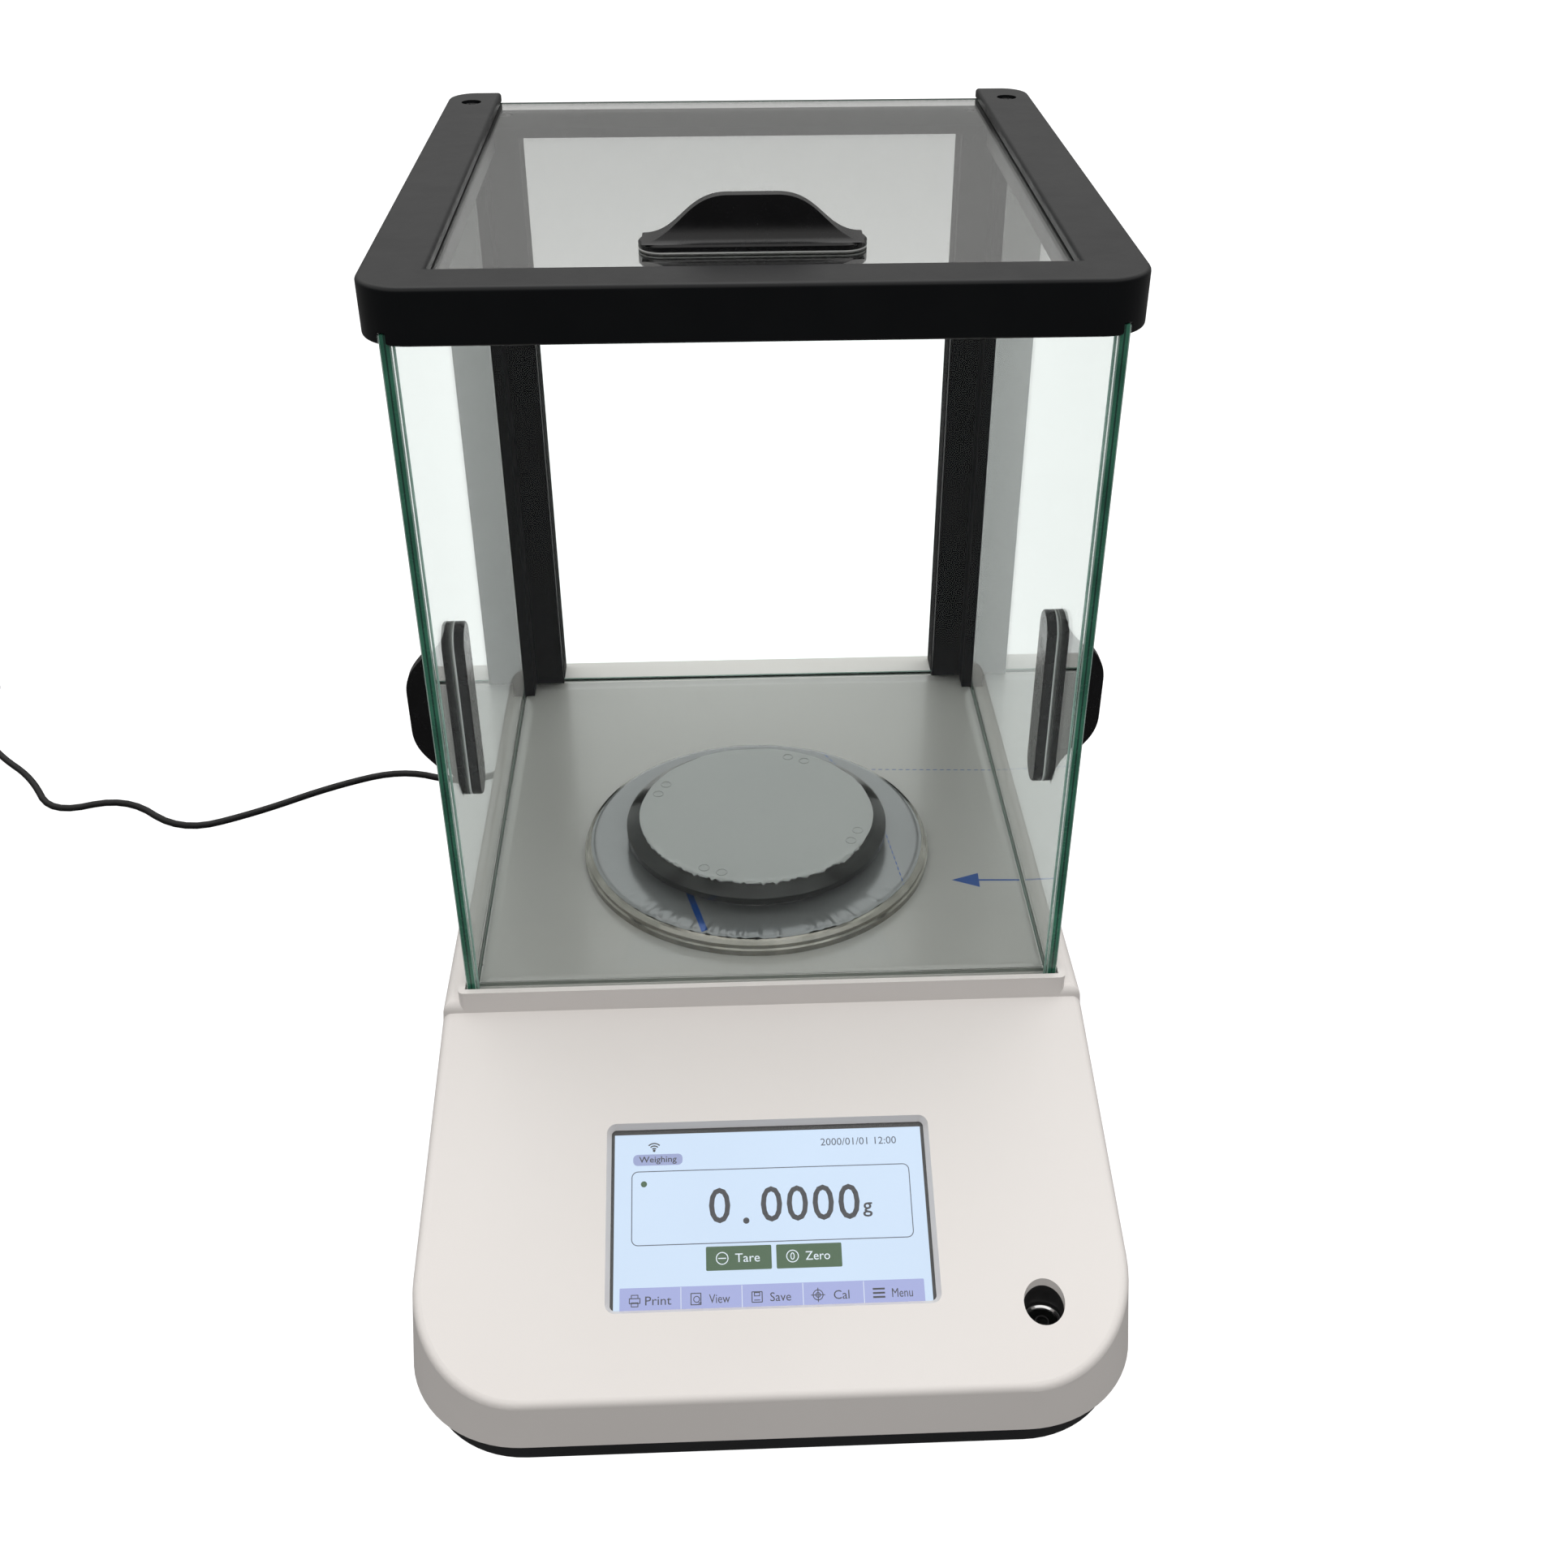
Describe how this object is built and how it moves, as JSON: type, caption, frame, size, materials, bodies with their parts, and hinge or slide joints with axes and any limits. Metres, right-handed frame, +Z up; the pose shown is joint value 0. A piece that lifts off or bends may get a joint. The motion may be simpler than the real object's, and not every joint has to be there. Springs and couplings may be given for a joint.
{
  "type": "analytical balance",
  "caption": "Analytical balance with a glass draft shield, sliding top and side doors, round pan with a draft ring, sloping touch-screen panel, levelling feet and power lead",
  "frame": {"origin": "on the table, under the middle of the balance's footprint without the power lead", "axes": "+X to the user's right, +Y to the rear, +Z up; the sloping panel faces -Y"},
  "size_m": [0.5604, 0.4938, 0.3362],
  "materials": {
    "housing": "satin, fine moulded grain",
    "tray": "black powder coat",
    "foot_rubber": "matt",
    "foot_wheel": "knurled",
    "brass": "turned",
    "clear_glass": "polished, green edges",
    "frame": "black anodised satin",
    "post": "black satin",
    "handle": "satin gloss",
    "tape": "foam tape",
    "track": "slippery strip",
    "floor_film": "brushed, under protective film",
    "ring_steel": "polished rim, film on the face",
    "pan_steel": "polished edge, film on the face",
    "bare_steel": "machined",
    "cell_metal": "machined",
    "magnet": "nickel plated",
    "coil": "enamelled copper wire",
    "screw_dark": "black zinc",
    "screw_zinc": "zinc plated",
    "board": "solder mask",
    "screen": "lit display",
    "touch_glass": "polished",
    "level_black": "matt",
    "level_chrome": "polished",
    "level_vial": "clear, liquid filled",
    "port_metal": "nickel plated",
    "inlet": "matt",
    "lead": "soft vinyl",
    "adapter": "fine grain"
  },
  "bodies": {
    "base": {"top_housing": "housing", "bottom_tray": "tray", "foot_inserts": "brass", "front_glass": "clear_glass", "rear_glass": "clear_glass", "top_frame": "frame", "rear_post_left": "post", "rear_post_right": "post", "rear_crossbar": "post", "door_tracks": "track", "floor_plate": "floor_film", "pan_spindle": "bare_steel", "cell_standoffs": "bare_steel", "cell_block": "cell_metal", "cell_lever": "cell_metal", "cell_magnet": "magnet", "cell_coil": "coil", "frame_screws": "screw_dark", "post_screws": "screw_zinc", "tray_screws": "screw_zinc", "cell_screws": "screw_zinc", "screen_screws": "screw_zinc", "main_board": "board", "screen_board": "board", "screen_module": "screen", "touch_glass": "touch_glass", "level_tube": "level_black", "level_ring": "level_chrome", "level_vial": "level_vial", "port_plate": "port_metal", "serial_port": "port_metal", "power_inlet": "inlet", "lead_tube": "lead", "lead_coil": "lead", "lead_tail": "lead", "lead_plug": "lead", "lead_adapter": "adapter"},
    "top_door": {"top_door_glass": "clear_glass", "top_door_handle": "handle", "top_door_tape": "tape", "top_door_plate": "handle"},
    "left_door": {"left_door_glass": "clear_glass", "left_door_handle": "handle", "left_door_tape": "tape", "left_door_plate": "handle"},
    "right_door": {"right_door_glass": "clear_glass", "right_door_handle": "handle", "right_door_tape": "tape", "right_door_plate": "handle"},
    "pan": {"weighing_pan": "pan_steel", "pan_spider": "bare_steel"},
    "ring": {"draft_ring": "ring_steel"},
    "foot_front_left": {"foot_pad_front_left": "foot_rubber"},
    "levelling_wheel_front_left": {"foot_wheel_front_left": "foot_wheel"},
    "foot_front_right": {"foot_pad_front_right": "foot_rubber"},
    "levelling_wheel_front_right": {"foot_wheel_front_right": "foot_wheel"},
    "foot_rear_left": {"foot_pad_rear_left": "foot_rubber"},
    "levelling_wheel_rear_left": {"foot_wheel_rear_left": "foot_wheel"},
    "foot_rear_right": {"foot_pad_rear_right": "foot_rubber"},
    "levelling_wheel_rear_right": {"foot_wheel_rear_right": "foot_wheel"}
  },
  "joints": [
    {"name": "top_door_slide", "type": "slide", "parent": "base", "child": "top_door", "axis": [0, 1, 0], "range_m": [0, 0.1329]},
    {"name": "left_door_slide", "type": "slide", "parent": "base", "child": "left_door", "axis": [0, 1, 0], "range_m": [0, 0.1329]},
    {"name": "right_door_slide", "type": "slide", "parent": "base", "child": "right_door", "axis": [0, 1, 0], "range_m": [0, 0.1329]},
    {"name": "ring_lift", "type": "slide", "parent": "base", "child": "ring", "axis": [0, 0, 1], "range_m": [0, 0.09]},
    {"name": "pan_lift", "type": "slide", "parent": "ring", "child": "pan", "axis": [0, 0, 1], "range_m": [0, 0.09]},
    {"name": "foot_height_front_left", "type": "slide", "parent": "base", "child": "foot_front_left", "axis": [0, 0, -1], "range_m": [-0.0015, 0.003]},
    {"name": "wheel_turn_front_left", "type": "hinge", "parent": "foot_front_left", "child": "levelling_wheel_front_left", "pos_m": [-0.071, -0.1425, 0.005], "axis": [0, 0, -1], "range_deg": [-420, 840]},
    {"name": "foot_height_front_right", "type": "slide", "parent": "base", "child": "foot_front_right", "axis": [0, 0, -1], "range_m": [-0.0015, 0.003]},
    {"name": "wheel_turn_front_right", "type": "hinge", "parent": "foot_front_right", "child": "levelling_wheel_front_right", "pos_m": [0.071, -0.1425, 0.005], "axis": [0, 0, -1], "range_deg": [-420, 840]},
    {"name": "foot_height_rear_left", "type": "slide", "parent": "base", "child": "foot_rear_left", "axis": [0, 0, -1], "range_m": [-0.0015, 0.003]},
    {"name": "wheel_turn_rear_left", "type": "hinge", "parent": "foot_rear_left", "child": "levelling_wheel_rear_left", "pos_m": [-0.071, 0.1425, 0.005], "axis": [0, 0, -1], "range_deg": [-420, 840]},
    {"name": "foot_height_rear_right", "type": "slide", "parent": "base", "child": "foot_rear_right", "axis": [0, 0, -1], "range_m": [-0.0015, 0.003]},
    {"name": "wheel_turn_rear_right", "type": "hinge", "parent": "foot_rear_right", "child": "levelling_wheel_rear_right", "pos_m": [0.071, 0.1425, 0.005], "axis": [0, 0, -1], "range_deg": [-420, 840]}
  ],
  "couplings": [
    {"joint": "foot_height_front_left", "follows": "wheel_turn_front_left", "m_per_rad": 0.00019894},
    {"joint": "foot_height_front_right", "follows": "wheel_turn_front_right", "m_per_rad": 0.00019894},
    {"joint": "foot_height_rear_left", "follows": "wheel_turn_rear_left", "m_per_rad": 0.00019894},
    {"joint": "foot_height_rear_right", "follows": "wheel_turn_rear_right", "m_per_rad": 0.00019894}
  ]
}
